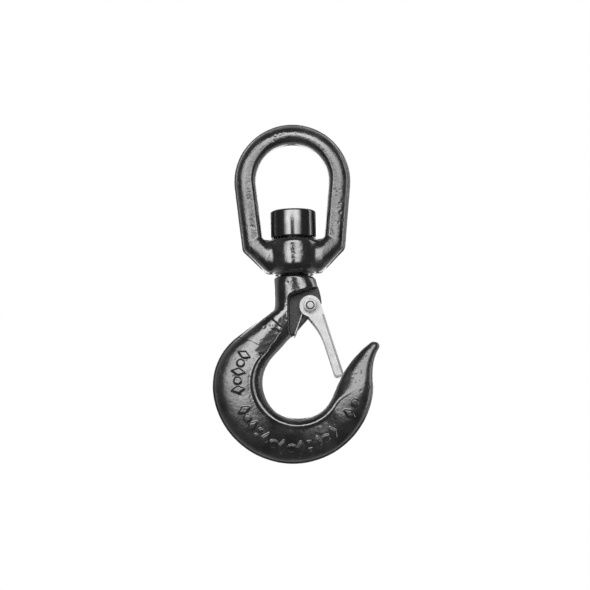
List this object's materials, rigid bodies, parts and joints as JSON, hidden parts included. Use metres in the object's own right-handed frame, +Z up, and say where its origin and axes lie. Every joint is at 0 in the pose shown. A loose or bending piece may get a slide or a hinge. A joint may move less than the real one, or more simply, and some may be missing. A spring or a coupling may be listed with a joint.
{
  "type": "swivel hook",
  "caption": "Lifting hook that turns in a forged eye bail, with a sprung steel latch that closes its throat.",
  "frame": {"origin": "the middle of the bail's inner crown, where a shackle or chain link bears, on the swivel axis", "axes": "+Z up along the swivel axis, +X towards the hook's tip, +Y to the back, the side of the latch bolt's head"},
  "size_m": [0.0726, 0.023, 0.1486],
  "materials": {
    "bail_paint": "gloss black paint over forged steel",
    "hook_paint": "gloss black paint over forged steel",
    "collar_paint": "gloss black paint over turned steel",
    "pin_steel": "dark oiled steel",
    "latch_zinc": "bright zinc plated sheet steel",
    "bolt_zinc": "bright zinc plated steel",
    "nut_zinc": "bright zinc plated steel",
    "spring_wire": "bright drawn spring wire"
  },
  "bodies": {
    "bail_body": {"bail": "bail_paint"},
    "hook_body": {"hook": "hook_paint", "collar": "collar_paint", "collar_lock_pin": "pin_steel", "latch_bolt": "bolt_zinc", "latch_nut": "nut_zinc", "latch_spring": "spring_wire"},
    "latch_body": {"latch": "latch_zinc"}
  },
  "joints": [
    {"name": "swivel", "type": "hinge", "parent": "bail_body", "child": "hook_body", "pos_m": [0, 0, -0.0495], "axis": [0, 0, 1], "continuous": true},
    {"name": "latch_pivot", "type": "hinge", "parent": "hook_body", "child": "latch_body", "pos_m": [0.00655, 0, -0.07175], "axis": [0, 1, 0], "range_deg": [0, 48], "stiffness_Nm_per_rad": 0.05, "springref_deg": -45.84, "deforming": ["latch_spring"]}
  ]
}
